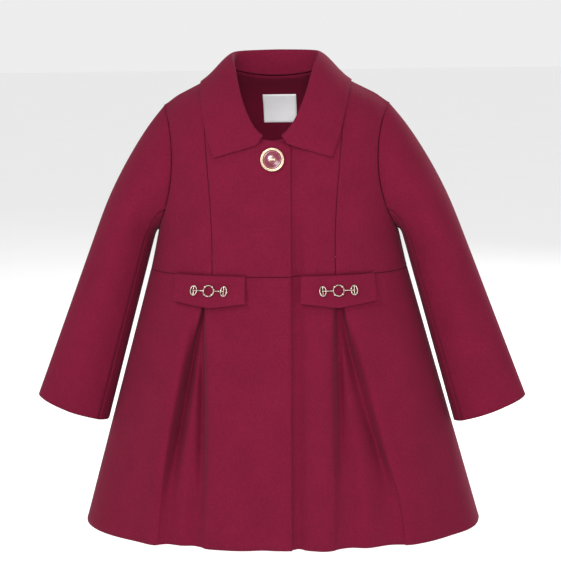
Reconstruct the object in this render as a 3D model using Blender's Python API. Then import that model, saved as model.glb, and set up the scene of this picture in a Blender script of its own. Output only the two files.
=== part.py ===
"""A child's wool coat, filled out as if worn, with nobody in it.

Lengths below are in millimetres and are turned into metres when a mesh is made.
The origin is where a wearer's shoulders hold the coat: X runs to the wearer's
left, Y to the back and Z up, with Z = 0 at the shoulder beside the neck.
"""
import math

import bmesh
import bpy
import numpy as np
from mathutils import Matrix, Vector

MM = 0.001

# Cloth and seams
WALL = 2.4
SEAM_GAP = 0.34
ARMHOLE_INSET = 0.45
SLEEVE_INSET = 0.26
LEVEL_MATCH = 4

# Body: the shoulder line and how the cloth rolls over it
NECK_HALF = 54.0
SHOULDER_HALF = 131.6
SHOULDER_SLOPE = 0.5
SHOULDER_ROLL = 60.0
SECTION_POWER = 2.25
WAIST_Z = -231.0
WRAP = 20.6
LAP_LIFT = 1.6
LAP_LEVEL = 4.0
LAP_RAMP = 24.0
CENTRE_ROWS = 10

# Body sections from the shoulder to the hem, each an oval
BODY = {
    "z": (-536.0, -430.0, -340.0, -231.0, -210.0, -188.0, -150.0, -110.0, -77.0, -40.0, 0.0),
    "half": (236.8, 206.9, 181.4, 150.5, 145.6, 141.0, 141.0, 141.0, 141.0, 141.0, 141.0),
    "front": (134.0, 117.5, 105.0, 88.5, 87.5, 86.5, 83.0, 76.5, 69.0, 62.0, 55.0),
    "back": (122.0, 106.0, 93.0, 77.0, 77.5, 79.0, 82.0, 80.0, 75.0, 67.0, 55.0),
}

# Neck edge, from the wrapped corner over the centre front to the shoulder
NECK_FRONT = {
    "q": (-20.6, -14.0, -5.0, 3.0, 12.0, 20.0, 30.0, 39.0, 46.0, 50.0, 52.3, 53.6, 54.0),
    "z": (-86.0, -82.3, -79.8, -78.8, -77.3, -74.5, -67.5, -55.0, -39.0, -24.0, -12.0, -3.0, 0.0),
}
NECK_BACK = {
    "q": (0.0, 13.0, 26.0, 38.0, 48.0, 52.7, 54.0),
    "z": (-10.0, -9.6, -8.3, -6.0, -2.6, -0.7, 0.0),
}
SHOULDER_COLUMNS = (67.0, 80.0)
FRONT_TOPS = NECK_FRONT["q"] + SHOULDER_COLUMNS
BACK_TOPS = NECK_BACK["q"] + SHOULDER_COLUMNS
SIDE_STEPS = 6

# Seam that runs from the shoulder over the chest to the waist
PRINCESS = {
    "z": (-231.0, -190.0, -140.0, -100.0, -60.0, -12.0),
    "q": (70.0, 69.5, 72.0, 75.5, 78.0, 80.0),
}

# Side seam and armhole, from the waist up to the shoulder point
ARMHOLE = {
    "z": (-231.0, -210.0, -188.0, -179.0, -160.0, -136.0, -111.0, -86.0, -65.0, -48.5, -38.8),
    "front": (150.5, 145.6, 141.0, 136.0, 127.5, 120.5, 117.5, 118.0, 121.0, 126.5, 131.6),
    "back": (150.5, 145.6, 141.0, 135.5, 128.5, 124.5, 123.0, 124.0, 126.0, 129.0, 131.6),
}
UNDERARM_ROW = 2

# Skirt: the pleat under each pocket flap, opening towards the hem
PLEATS = {
    "z": (-536.0, -469.0, -421.0, -382.0, -334.0, -292.0, -270.0, -231.0),
    "right_in": (82.0, 80.0, 77.0, 76.5, 78.5, 79.4, 79.4, 79.5),
    "right_out": (134.0, 127.5, 120.5, 112.0, 100.5, 89.0, 81.4, 80.5),
    "left_in": (70.0, 70.0, 69.3, 69.0, 68.0, 67.8, 68.0, 71.0),
    "left_out": (147.0, 137.0, 117.0, 104.0, 92.0, 83.0, 78.5, 74.0),
    "depth": (8.0, 10.0, 13.0, 14.5, 15.0, 14.0, 12.5, 10.0),
    "middle": (2.5, 4.0, 6.5, 9.0, 12.0, 12.5, 11.5, 9.5),
    "swell": (1.6, 2.0, 2.2, 2.2, 2.0, 1.4, 0.8, 0.0),
}
SKIRT_ROWS = (-231.0, -250.0, -270.0, -292.0, -317.0, -345.0, -375.0, -408.0,
              -440.0, -472.0, -504.0, -536.0)
FRONT_PANEL_STEPS = 4
SKIRT_BACK_STEPS = 24

# Sleeves: the ring at the upper arm and the ring at the cuff
BICEP_INNER = (145.5, -3.0, -196.0)
BICEP_TILT = 18.5
BICEP_HALF_WIDTH = 34.0
BICEP_HALF_DEPTH = 44.0
CUFF_CENTRE = (247.5, -12.0, -398.0)
CUFF_TILT = 20.4
CUFF_HALF_WIDTH = 45.5
CUFF_HALF_DEPTH = 33.0
CAP_ROWS = 5
CAP_FALL = 0.96
CAP_SPREAD = 0.45
CAP_LEAVE = 0.7
CAP_ARRIVE = 0.8
ARM_ROWS = 8
SLEEVE_ANGLES = (0.0, 22.0, 45.0, 68.0, 90.0, 114.0, 142.0, 161.0,
                 180.0, 199.0, 222.0, 246.0, 270.0, 292.0, 315.0, 338.0)
FRONT_SLEEVE_SEAM = 6
BACK_SLEEVE_SEAM = 10

# Collar, from the front end round to the centre back, for one side. An arc is a
# length over the body from the shoulder line, to the back where it is above zero
COLLAR = {
    "neck_q": (12.0, 20.0, 30.0, 39.0, 46.0, 50.0, 52.3, 53.6, 54.0, 52.7, 48.0, 38.0,
               26.0, 13.0, 0.0),
    "neck_back": (0, 0, 0, 0, 0, 0, 0, 0, 0, 1, 1, 1, 1, 1, 1),
    "fold_x": (11.0, 18.0, 25.5, 32.5, 38.5, 42.5, 46.0, 49.0, 50.5, 50.3, 47.5, 38.5,
               26.0, 13.0, 0.0),
    "fold_y": (-76.0, -74.0, -69.5, -61.5, -50.5, -39.0, -27.0, -14.0, -2.0, 8.0, 17.0, 26.5,
               32.0, 35.3, 36.5),
    "fold_z": (-74.5, -68.5, -57.5, -42.0, -25.0, -9.0, 3.0, 10.5, 15.0, 17.5, 18.8, 19.6,
               20.0, 20.3, 20.5),
    "edge_q": (16.0, 29.0, 47.0, 66.0, 73.5, 78.5, 82.0, 84.8, 86.0, 86.0, 82.0, 66.0,
               45.0, 22.5, 0.0),
    "edge_arc": (-118.0, -122.7, -127.2, -127.3, -105.2, -80.0, -55.0, -28.0, -4.0, 18.0,
                 38.0, 60.0, 72.0, 78.5, 80.0),
}
COLLAR_CLEARANCE = 0.8
NECK_SPARE = 0.5
FALL_PUFF = 1.6
FALL_REACH = 0.8
CLEARANCE_ARCS = tuple(range(-132, 100, 2))
STAND_ROWS = 4
FALL_ROWS = 6

# Pocket flaps and the metal trim on them
FLAP_CENTRE = 71.5
FLAP_HALF = 40.5
FLAP_TOP_Z = -230.0
FLAP_CORNER_DROP = 31.0
FLAP_POINT_DROP = 37.0
FLAP_THICKNESS = 3.2
FLAP_STAND_OFF = 4.5
FLAP_COLUMNS = 10
FLAP_ROWS = 4
TRIM_Z = -247.5
TRIM_RING_RADIUS = 6.2
TRIM_WIRE = 1.0
TRIM_END_OFFSET = 18.0
TRIM_END_HALF_WIDTH = 3.6
TRIM_END_HALF_HEIGHT = 5.4

# Button and label
BUTTON_Z = -100.5
BUTTON_RADIUS = 11.2
BUTTON_THICKNESS = 3.6
BUTTON_SEAT = 0.6
BUTTON_RIM_RADIUS = 12.6
BUTTON_RIM_WIRE = 0.95
LABEL_HALF_WIDTH = 20.0
LABEL_TOP_Z = -30.0
LABEL_BOTTOM_Z = -66.0
LABEL_THICKNESS = 0.9
LABEL_SPARE = 1.4


def clear_scene():
    """Remove whatever the file holds."""
    for scene_object in list(bpy.data.objects):
        bpy.data.objects.remove(scene_object, do_unlink=True)


def cloth_material(name, colour, roughness, metallic):
    """A plain finish for one sub-part."""
    material = bpy.data.materials.new(name)
    material.use_nodes = True
    shader = material.node_tree.nodes["Principled BSDF"]
    shader.inputs["Base Color"].default_value = (*colour, 1.0)
    shader.inputs["Roughness"].default_value = roughness
    shader.inputs["Metallic"].default_value = metallic
    return material


def smooth_value(table, column, at, key="z"):
    """Read a table along a smooth curve through its rows."""
    xs = np.array(table[key], dtype=float)
    ys = np.array(table[column], dtype=float)
    at = min(max(at, xs[0]), xs[-1])
    slopes = np.gradient(ys, xs)
    index = int(min(np.searchsorted(xs, at, side="right") - 1, len(xs) - 2))
    span = xs[index + 1] - xs[index]
    t = (at - xs[index]) / span
    near = (1 + 2 * t) * (1 - t) ** 2 * ys[index] + t * (1 - t) ** 2 * span * slopes[index]
    far = t * t * (3 - 2 * t) * ys[index + 1] + t * t * (t - 1) * span * slopes[index + 1]
    return float(near + far)


def straight_value(table, column, at, key="z"):
    """Read a table along straight lines between its rows."""
    return float(np.interp(at, table[key], table[column]))


def ease(share):
    """A soft step from 0 to 1."""
    share = min(max(share, 0.0), 1.0)
    return share * share * (3 - 2 * share)


def shoulder_z(q):
    """Height of the shoulder line at a distance from the centre."""
    return -SHOULDER_SLOPE * max(abs(q) - NECK_HALF, 0.0)


def section_depth(q, z, back):
    """How far the cloth stands in front of or behind the shoulder line."""
    half = straight_value(BODY, "half", z)
    depth = smooth_value(BODY, "back" if back else "front", z)
    share = min(abs(q) / half, 1.0)
    flat = depth * (1 - share ** SECTION_POWER) ** (1 / SECTION_POWER)
    drop = max(shoulder_z(q) - z, 0.0)
    if drop >= SHOULDER_ROLL:
        return flat
    return flat * math.sin(math.acos(1 - drop / SHOULDER_ROLL))


def lap_lift(q, top_layer):
    """The buttoned front lies over the other one and lifts off the body's form."""
    lift = LAP_LIFT * ease((WRAP + LAP_LEVEL + LAP_RAMP - q) / LAP_RAMP)
    return lift if top_layer else -lift


def front_point(side, q, z):
    """A point of the front's outside, q being measured towards that side's own sleeve."""
    return (side * q, -(section_depth(q, z, False) + lap_lift(q, side < 0)), z)


def back_point(side, q, z):
    """A point of the back's outside."""
    return (side * q, section_depth(q, z, True), z)


def arc_of(drop):
    """Length over the rolled shoulder for a drop below it."""
    if drop >= SHOULDER_ROLL:
        return SHOULDER_ROLL * math.pi / 2 + drop - SHOULDER_ROLL
    return SHOULDER_ROLL * math.acos(1 - max(drop, 0.0) / SHOULDER_ROLL)


def drop_of(arc):
    """Drop below the shoulder for a length over it."""
    quarter = SHOULDER_ROLL * math.pi / 2
    if arc >= quarter:
        return SHOULDER_ROLL + arc - quarter
    return SHOULDER_ROLL * (1 - math.cos(arc / SHOULDER_ROLL))


def top_of(q, back):
    """Where a column of the body ends: at the neck edge or at the shoulder."""
    if abs(q) >= NECK_HALF:
        return shoulder_z(q)
    if back:
        return straight_value(NECK_BACK, "z", abs(q), "q")
    return straight_value(NECK_FRONT, "z", q, "q")


def centre_column(top_q, back, edge_q):
    """The q and z of a column's rows, from the waist to the top."""
    top_z = top_of(top_q, back)
    seam = smooth_value(PRINCESS, "q", top_z)
    share = (top_q - edge_q) / (seam - edge_q)
    crest = shoulder_z(top_q)
    low, high = arc_of(crest - WAIST_Z), arc_of(crest - top_z)
    column = []
    for row in range(CENTRE_ROWS + 1):
        z = crest - drop_of(low + (high - low) * row / CENTRE_ROWS)
        q = edge_q + share * (smooth_value(PRINCESS, "q", z) - edge_q)
        column.append((q, z))
    column[-1] = (top_q, top_z)
    return column


def turn_of(q, half):
    """The angle round the oval section at which a point lies."""
    return math.asin(min((q / half) ** (SECTION_POWER / 2), 1.0))


def side_columns(inner, edge_name):
    """Columns from the chest seam out to the side seam and the armhole."""
    columns = []
    for step in range(1, SIDE_STEPS + 1):
        share = step / SIDE_STEPS
        column = []
        for row, (inner_q, inner_z) in enumerate(inner):
            outer_z = ARMHOLE["z"][row] if row < CENTRE_ROWS else shoulder_z(SHOULDER_HALF)
            outer_q = ARMHOLE[edge_name][row]
            inner_drop = shoulder_z(inner_q) - inner_z
            outer_drop = shoulder_z(outer_q) - outer_z
            half = straight_value(BODY, "half", (inner_z + outer_z) / 2)
            half_out = straight_value(BODY, "half", outer_z)
            turn = turn_of(inner_q, half) * (1 - share) + turn_of(outer_q, half_out) * share
            q = (half * (1 - share) + half_out * share) * math.sin(turn) ** (2 / SECTION_POWER)
            level = inner_z * (1 - share) + outer_z * share
            rolled = shoulder_z(q) - (inner_drop * (1 - share) + outer_drop * share)
            z = level + (rolled - level) * row / CENTRE_ROWS
            column.append((q, z))
        columns.append(column)
    edge = [(ARMHOLE[edge_name][row], ARMHOLE["z"][row]) for row in range(CENTRE_ROWS + 1)]
    edge[-1] = (SHOULDER_HALF, shoulder_z(SHOULDER_HALF))
    columns[-1] = edge
    return columns


def grid_of(columns, place, side):
    """Turn columns of q and z into a grid of points, row by row."""
    points = [[place(side, q, z) for q, z in column] for column in columns]
    return np.array(points, dtype=float).transpose(1, 0, 2)


def front_centre_grid(side):
    """Front panel between the opening and the chest seam."""
    columns = [centre_column(top, False, -WRAP) for top in FRONT_TOPS]
    return grid_of(columns, front_point, side)


def front_side_grid(side):
    """Front panel between the chest seam and the side."""
    inner = centre_column(FRONT_TOPS[-1], False, -WRAP)
    columns = [inner] + side_columns(inner, "front")
    return grid_of(columns, front_point, side)


def back_grid():
    """The back of the bodice, in one piece."""
    centre = [centre_column(top, True, 0.0) for top in BACK_TOPS]
    columns = centre + side_columns(centre[-1], "back")
    left = grid_of(columns, back_point, 1)
    right = grid_of(columns[:0:-1], back_point, -1)
    return np.concatenate([right, left], axis=1)


def pleat_columns(z, side):
    """Positions and inward depths across the pleat at one height."""
    hand = "right" if side < 0 else "left"
    inner = smooth_value(PLEATS, hand + "_in", z)
    outer = smooth_value(PLEATS, hand + "_out", z)
    depth = smooth_value(PLEATS, "depth", z)
    middle = smooth_value(PLEATS, "middle", z)
    swell = smooth_value(PLEATS, "swell", z)
    width = outer - inner
    half_way = (inner + outer) / 2
    return (
        (inner - 22.0, -0.4 * swell), (inner - 12.0, -swell), (inner - 4.5, -0.6 * swell),
        (inner - 1.2, 0.5), (inner, 2.6), (inner + 0.10 * width, 0.7 * depth),
        (inner + 0.24 * width, depth), (half_way, middle), (outer - 0.24 * width, depth),
        (outer - 0.10 * width, 0.7 * depth), (outer, 2.6), (outer + 1.2, 0.5),
        (outer + 4.5, -0.6 * swell), (outer + 12.0, -swell), (outer + 22.0, -0.4 * swell),
    )


def skirt_front_grid(side):
    """Front of the skirt on one side, with its pleat."""
    rows = []
    for z in SKIRT_ROWS:
        half = straight_value(BODY, "half", z)
        pleat = pleat_columns(z, side)
        first, last = pleat[0][0], pleat[-1][0]
        stations = [(-WRAP + (first + WRAP) * step / FRONT_PANEL_STEPS, 0.0)
                    for step in range(FRONT_PANEL_STEPS)]
        stations += list(pleat)
        start = turn_of(last, half)
        for step in range(1, SIDE_STEPS + 1):
            turn = start + (math.pi / 2 - start) * step / SIDE_STEPS
            stations.append((half * math.sin(turn) ** (2 / SECTION_POWER), 0.0))
        row = []
        for q, tuck in stations:
            x, y, level = front_point(side, q, z)
            row.append((x, min(y + tuck, 0.0), level))
        rows.append(row)
    return np.array(rows, dtype=float)


def skirt_back_grid():
    """Back of the skirt, in one piece."""
    rows = []
    for z in SKIRT_ROWS:
        half = straight_value(BODY, "half", z)
        row = []
        for step in range(SKIRT_BACK_STEPS + 1):
            turn = -math.pi / 2 + math.pi * step / SKIRT_BACK_STEPS
            q = half * math.copysign(abs(math.sin(turn)) ** (2 / SECTION_POWER), turn)
            row.append((q, section_depth(q, z, True), z))
        rows.append(row)
    return np.array(rows, dtype=float)


def sleeve_ring(centre, tilt, half_width, half_depth):
    """Points round a ring of the sleeve, starting on its outer side."""
    angle = math.radians(tilt)
    outward = np.array((math.cos(angle), 0.0, math.sin(angle)))
    forward = np.array((0.0, -1.0, 0.0))
    ring = []
    for degrees in SLEEVE_ANGLES:
        turn = math.radians(degrees)
        ring.append(centre + outward * half_width * math.cos(turn)
                    + forward * half_depth * math.sin(turn))
    return np.array(ring)


def blend_curve(start, end, leave, arrive, share):
    """A point on a smooth curve between two points with given directions."""
    t = share
    return ((1 + 2 * t) * (1 - t) ** 2 * start + t * (1 - t) ** 2 * leave
            + t * t * (3 - 2 * t) * end + t * t * (t - 1) * arrive)


def sleeve_grid():
    """The left sleeve's outside: rows from the armhole to the cuff, columns round it."""
    front = front_side_grid(1)[:, -1]
    back = back_grid()[:, -1]
    armhole = np.concatenate([front[:UNDERARM_ROW - 1:-1], back[UNDERARM_ROW + 1:-1]])
    tilt = math.radians(BICEP_TILT)
    outward = np.array((math.cos(tilt), 0.0, math.sin(tilt)))
    down = np.array((math.sin(tilt), 0.0, -math.cos(tilt)))
    bicep_centre = np.array(BICEP_INNER) + outward * BICEP_HALF_WIDTH
    bicep = sleeve_ring(bicep_centre, BICEP_TILT, BICEP_HALF_WIDTH, BICEP_HALF_DEPTH)
    rows = [armhole]
    for row in range(1, CAP_ROWS + 1):
        ring = []
        for index, degrees in enumerate(SLEEVE_ANGLES):
            turn = math.radians(degrees)
            span = float(np.linalg.norm(bicep[index] - armhole[index]))
            fall = CAP_FALL * (1 + math.cos(turn)) / 2
            leave = np.array((1.0, -CAP_SPREAD * math.sin(turn), -fall))
            leave = leave / np.linalg.norm(leave) * span * CAP_LEAVE
            arrive = down * span * CAP_ARRIVE
            ring.append(blend_curve(armhole[index], bicep[index], leave, arrive, row / CAP_ROWS))
        rows.append(np.array(ring))
    cuff_centre = np.array(CUFF_CENTRE)
    for row in range(1, ARM_ROWS + 1):
        share = row / ARM_ROWS
        centre = bicep_centre * (1 - share) + cuff_centre * share
        rows.append(sleeve_ring(
            centre, BICEP_TILT + (CUFF_TILT - BICEP_TILT) * share,
            BICEP_HALF_WIDTH + (CUFF_HALF_WIDTH - BICEP_HALF_WIDTH) * share,
            BICEP_HALF_DEPTH + (CUFF_HALF_DEPTH - BICEP_HALF_DEPTH) * share))
    return np.array(rows)


def sleeve_part(grid, side, under):
    """The upper or the under piece of a sleeve, cut along its two long seams."""
    grid = grid * np.array((side, 1.0, 1.0))
    count = len(SLEEVE_ANGLES)
    if under:
        picks = list(range(FRONT_SLEEVE_SEAM, BACK_SLEEVE_SEAM + 1))
    else:
        picks = [index % count for index in range(BACK_SLEEVE_SEAM, count + FRONT_SLEEVE_SEAM + 1)]
    return grid[:, picks]


def cell_normals(grid):
    """A unit normal for each cell of a grid."""
    across = grid[1:, 1:] - grid[:-1, :-1]
    along = grid[:-1, 1:] - grid[1:, :-1]
    normals = np.cross(across, along)
    lengths = np.linalg.norm(normals, axis=2, keepdims=True)
    return normals / np.maximum(lengths, 1e-9)


def outward_cells(grid, reference):
    """Cell normals, turned so that they point away from a reference point of each row."""
    normals = cell_normals(grid)
    middles = (grid[1:, 1:] + grid[:-1, :-1]) / 2
    away = middles - reference[:-1, None, :]
    if float(np.sum(normals * away)) < 0:
        normals = -normals
    return normals


def corner_key(point):
    """A key that is the same for points that meet at a seam."""
    return tuple(np.round(point, LEVEL_MATCH - 1) + 0.0)


def seam_normals(panels):
    """Shared normals of all panels, so that neighbours are mitred where they meet."""
    sums = {}
    for grid, cells in panels.values():
        rows, columns = cells.shape[:2]
        for row in range(rows):
            for column in range(columns):
                for corner in ((row, column), (row + 1, column), (row, column + 1),
                               (row + 1, column + 1)):
                    sums.setdefault(corner_key(grid[corner]), []).append(cells[row, column])
    shared = {}
    for key, normals in sums.items():
        mean = np.sum(normals, axis=0)
        mean = mean / max(float(np.linalg.norm(mean)), 1e-9)
        reach = float(np.mean([np.dot(mean, normal) for normal in normals]))
        shared[key] = mean / max(reach, 0.66)
    return shared


def inner_grid(grid, shared, level_rows):
    """The inside of a panel, one wall away from its outside."""
    inner = np.empty_like(grid)
    for row in range(grid.shape[0]):
        for column in range(grid.shape[1]):
            normal = shared[corner_key(grid[row, column])].copy()
            if row in level_rows:
                normal[2] = 0.0
                normal = normal / max(float(np.linalg.norm(normal)), 1e-9)
            inner[row, column] = grid[row, column] - normal * WALL
    return inner


def pull_edge(grid, edge, distance):
    """Move one edge of a grid into its own cloth, to leave the gap of a seam."""
    picks = {"first_row": (0, 1, True), "last_row": (-1, -2, True),
             "first_column": (0, 1, False), "last_column": (-1, -2, False)}
    line, beside, is_row = picks[edge]
    view = grid if is_row else grid.transpose(1, 0, 2)
    away = view[beside] - view[line]
    lengths = np.linalg.norm(away, axis=1, keepdims=True)
    view[line] += away / np.maximum(lengths, 1e-9) * np.minimum(distance, lengths * 0.4)


def mesh_object(name, vertices, faces, material):
    """One named object from points in millimetres, its faces turned outwards."""
    mesh = bpy.data.meshes.new(name)
    mesh.from_pydata([tuple(np.array(point) * MM) for point in vertices], [], faces)
    work = bmesh.new()
    work.from_mesh(mesh)
    bmesh.ops.recalc_face_normals(work, faces=work.faces)
    if work.calc_volume(signed=True) < 0:
        bmesh.ops.reverse_faces(work, faces=work.faces)
    work.to_mesh(mesh)
    work.free()
    mesh.materials.append(material)
    mesh.shade_smooth()
    mesh.set_sharp_from_angle(angle=math.radians(50))
    built = bpy.data.objects.new(name, mesh)
    bpy.context.scene.collection.objects.link(built)
    return built


def diagonal_cuts(first, second, third, fourth):
    """The two triangles that split a four-sided cell along its shorter diagonal."""
    if np.linalg.norm(first - third) <= np.linalg.norm(second - fourth) + 1e-6:
        return ((0, 1, 2), (0, 2, 3))
    return ((0, 1, 3), (1, 2, 3))


def shell_object(name, outer, inner, material):
    """A thin closed wall between an outer and an inner grid."""
    rows, columns = outer.shape[:2]
    vertices = list(outer.reshape(-1, 3)) + list(inner.reshape(-1, 3))
    shift = rows * columns

    def at(row, column, inside):
        return row * columns + column + (shift if inside else 0)

    faces = []
    for row in range(rows - 1):
        for column in range(columns - 1):
            corners = ((row, column), (row, column + 1), (row + 1, column + 1), (row + 1, column))
            for cut in diagonal_cuts(*(outer[corner] for corner in corners)):
                faces.append([at(*corners[pick], False) for pick in cut])
                faces.append([at(*corners[pick], True) for pick in reversed(cut)])
    border = [(0, column) for column in range(columns)]
    border += [(row, columns - 1) for row in range(1, rows)]
    border += [(rows - 1, column) for column in range(columns - 2, -1, -1)]
    border += [(row, 0) for row in range(rows - 2, 0, -1)]
    for index, here in enumerate(border):
        there = border[(index + 1) % len(border)]
        corners = [at(*there, False), at(*here, False), at(*here, True), at(*there, True)]
        for cut in diagonal_cuts(*(vertices[corner] for corner in corners)):
            faces.append([corners[pick] for pick in cut])
    return mesh_object(name, vertices, faces, material)


def body_axis(grid):
    """A point inside the body for each row of a grid."""
    return np.array([(0.0, 0.0, float(np.mean(row[:, 2]))) for row in grid])


def cloth_panels():
    """Every body and sleeve panel's outside, with its cells' outward normals."""
    panels = {}
    for side, hand in ((-1, "R"), (1, "L")):
        panels["bodice_front_centre_" + hand] = front_centre_grid(side)
        panels["bodice_front_side_" + hand] = front_side_grid(side)
        panels["skirt_front_" + hand] = skirt_front_grid(side)
    panels["bodice_back"] = back_grid()
    panels["skirt_back"] = skirt_back_grid()
    finished = {}
    for name, grid in panels.items():
        finished[name] = (grid, outward_cells(grid, body_axis(grid)))
    sleeve = sleeve_grid()
    for side, hand in ((-1, "R"), (1, "L")):
        middle = sleeve.mean(axis=1) * np.array((side, 1.0, 1.0))
        for under, word in ((False, "upper"), (True, "under")):
            grid = sleeve_part(sleeve, side, under)
            finished["sleeve_" + word + "_" + hand] = (grid, outward_cells(grid, middle))
    return finished


def panel_edges(name):
    """Which edges of a panel are sewn, and how far each draws back from its seam."""
    half_gap = SEAM_GAP / 2
    if name.startswith("bodice_front_centre"):
        return (("first_row", half_gap), ("last_row", half_gap), ("last_column", half_gap))
    if name.startswith("bodice_front_side"):
        return (("first_row", half_gap), ("last_row", half_gap), ("first_column", half_gap),
                ("last_column", ARMHOLE_INSET))
    if name == "bodice_back":
        return (("first_row", half_gap), ("last_row", half_gap), ("first_column", ARMHOLE_INSET),
                ("last_column", ARMHOLE_INSET))
    if name.startswith("skirt_front"):
        return (("first_row", half_gap), ("last_column", half_gap))
    if name == "skirt_back":
        return (("first_row", half_gap), ("first_column", half_gap), ("last_column", half_gap))
    return (("first_row", ARMHOLE_INSET), ("first_column", SLEEVE_INSET),
            ("last_column", SLEEVE_INSET))


def level_rows_of(name, rows):
    """Rows whose rim stays level: the waist seam and the hem."""
    if name.startswith("bodice"):
        return (0,)
    if name.startswith("skirt"):
        return (0, rows - 1)
    return ()


def build_panels(wool):
    """All panels of the body and the sleeves."""
    panels = cloth_panels()
    shared = seam_normals(panels)
    for name, (grid, _) in panels.items():
        outer = grid.copy()
        inner = inner_grid(grid, shared, level_rows_of(name, grid.shape[0]))
        for edge, distance in panel_edges(name):
            pull_edge(outer, edge, distance)
            pull_edge(inner, edge, distance)
        shell_object(name, outer, inner, wool)


def surface_point(side, q, z, back, clearance):
    """A point at a clearance from the outside of the body, and the normal there."""
    place = back_point if back else front_point
    step = 0.4
    here = np.array(place(side, q, z))
    beside = np.array(place(side, q + step, z))
    below = np.array(place(side, q, z - step))
    normal = np.cross(beside - here, below - here)
    if normal[1] * (1 if back else -1) < 0:
        normal = -normal
    normal = normal / np.linalg.norm(normal)
    return here + normal * clearance, normal


def arc_point(side, q, arc):
    """A point of the body's outside, at a length over the shoulder."""
    z = shoulder_z(q) - drop_of(abs(arc))
    if arc > 0:
        return np.array(back_point(side, q, z))
    return np.array(front_point(side, q, z))


def arc_frame(side, q, arc):
    """A point of the body's outside and the outward normal there."""
    step = 0.5
    here = arc_point(side, q, arc)
    across = arc_point(side, q + step, arc) - arc_point(side, q - step, arc)
    over = arc_point(side, q, arc + step) - arc_point(side, q, arc - step)
    normal = np.cross(across, over)
    normal = normal / np.linalg.norm(normal)
    if float(np.dot(normal, here - np.array((0.0, 0.0, -60.0)))) < 0:
        normal = -normal
    return here, normal


def clear_of_body(point, clearance):
    """Push a point out until it is clear of the body."""
    side = -1 if point[0] < 0 else 1
    q = abs(float(point[0]))
    near = min((arc_point(side, q, arc) for arc in CLEARANCE_ARCS),
               key=lambda body: float(np.linalg.norm(body - point)))
    nearest_arc = arc_of(shoulder_z(q) - float(near[2])) * (1 if near[1] > 0 else -1)
    here, normal = arc_frame(side, q, nearest_arc)
    outside = float(np.dot(point - here, normal))
    if outside >= clearance:
        return point
    return point + normal * (clearance - outside)


def collar_line(station, side, neck, neck_normal, inward):
    """The middle line of the collar's cloth at one station, from the seam to the edge."""
    row = {column: values[station] for column, values in COLLAR.items()}
    fold = np.array((side * row["fold_x"], row["fold_y"], row["fold_z"]))
    clearance = COLLAR_CLEARANCE + WALL / 2
    if side > 0 and row["edge_q"] < WRAP + 12:
        clearance += 2 * LAP_LIFT
    edge, edge_normal = arc_frame(side, row["edge_q"], row["edge_arc"])
    edge = edge + edge_normal * clearance
    axis = np.array((0.0, -14.0, fold[2])) - fold
    axis = axis / np.linalg.norm(axis)
    seat = neck - neck_normal * 0.35 * WALL + inward * (WALL / 2 + SEAM_GAP + NECK_SPARE)
    rise = fold - seat
    height = float(np.linalg.norm(rise))
    over = (edge - fold) / np.linalg.norm(edge - fold) - axis
    over = over / np.linalg.norm(over)
    leave = rise * 0.8 + axis * height * 0.25
    line = [blend_curve(seat, fold, leave, over * max(height * 0.5, 7.0), step / STAND_ROWS)
            for step in range(STAND_ROWS + 1)]
    run = edge - fold
    length = float(np.linalg.norm(run))
    along = run - edge_normal * float(np.dot(run, edge_normal))
    along = along / np.linalg.norm(along)
    for step in range(1, FALL_ROWS + 1):
        point = blend_curve(fold, edge, over * max(length * FALL_REACH, 7.0), along * length,
                            step / FALL_ROWS)
        spare = FALL_PUFF * math.sin(math.pi * step / FALL_ROWS)
        line.append(clear_of_body(point, clearance + spare))
    return line


def collar_side(side):
    """The collar's stations on one side, from its front end to the centre back."""
    frames = []
    for q, back in zip(COLLAR["neck_q"], COLLAR["neck_back"]):
        arc = arc_of(-top_of(min(q, NECK_HALF - 0.01), bool(back))) * (1 if back else -1)
        frames.append(arc_frame(side, q, arc))
    places = np.array([place for place, _ in frames])
    tangents = np.gradient(places, axis=0)
    lines = []
    for station, (place, normal) in enumerate(frames):
        inward = np.cross(tangents[station], normal)
        inward = inward / np.linalg.norm(inward)
        if float(np.dot(inward, np.array((0.0, -14.0, 40.0)) - place)) < 0:
            inward = -inward
        lines.append(collar_line(station, side, place, normal, inward))
    return lines


def collar_grid():
    """Middle surface of the collar, from its wearer's right end to its left end."""
    right, left = collar_side(-1), collar_side(1)
    return np.array(right + left[-2::-1]).transpose(1, 0, 2)


def vertex_normals(grid):
    """Unit normals at the points of a grid."""
    cells = cell_normals(grid)
    sums = np.zeros_like(grid)
    sums[:-1, :-1] += cells
    sums[1:, :-1] += cells
    sums[:-1, 1:] += cells
    sums[1:, 1:] += cells
    return sums / np.maximum(np.linalg.norm(sums, axis=2, keepdims=True), 1e-9)


def build_collar(wool):
    """The collar: a stand and a fall in one folded piece."""
    middle = collar_grid()
    normals = vertex_normals(middle)
    shell_object("collar", middle + normals * WALL / 2, middle - normals * WALL / 2, wool)


def flap_drop(share):
    """Length of the flap below its seam, longest at the point in its middle."""
    return FLAP_CORNER_DROP + (FLAP_POINT_DROP - FLAP_CORNER_DROP) * (1 - abs(share))


def flap_point(side, share, fall, clearance):
    """A point on the back of a flap, share across it and fall down it from 0 to 1."""
    q = FLAP_CENTRE + share * (FLAP_HALF + 0.8 * fall)
    z = FLAP_TOP_Z - flap_drop(share) * fall
    lift = 0.5 + FLAP_STAND_OFF * ease(fall) + clearance
    return surface_point(side, q, z, False, lift)[0]


def build_flap(side, hand, wool):
    """A pocket flap that hangs from the waist seam and stands off the skirt."""
    rows = [row / FLAP_ROWS for row in range(FLAP_ROWS + 1)]
    shares = [-1 + 2 * column / FLAP_COLUMNS for column in range(FLAP_COLUMNS + 1)]
    inner = np.array([[flap_point(side, share, fall, 0.0) for share in shares] for fall in rows])
    outer = np.array([[flap_point(side, share, fall, FLAP_THICKNESS) for share in shares]
                      for fall in rows])
    shell_object("flap_" + hand, outer, inner, wool)


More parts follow.
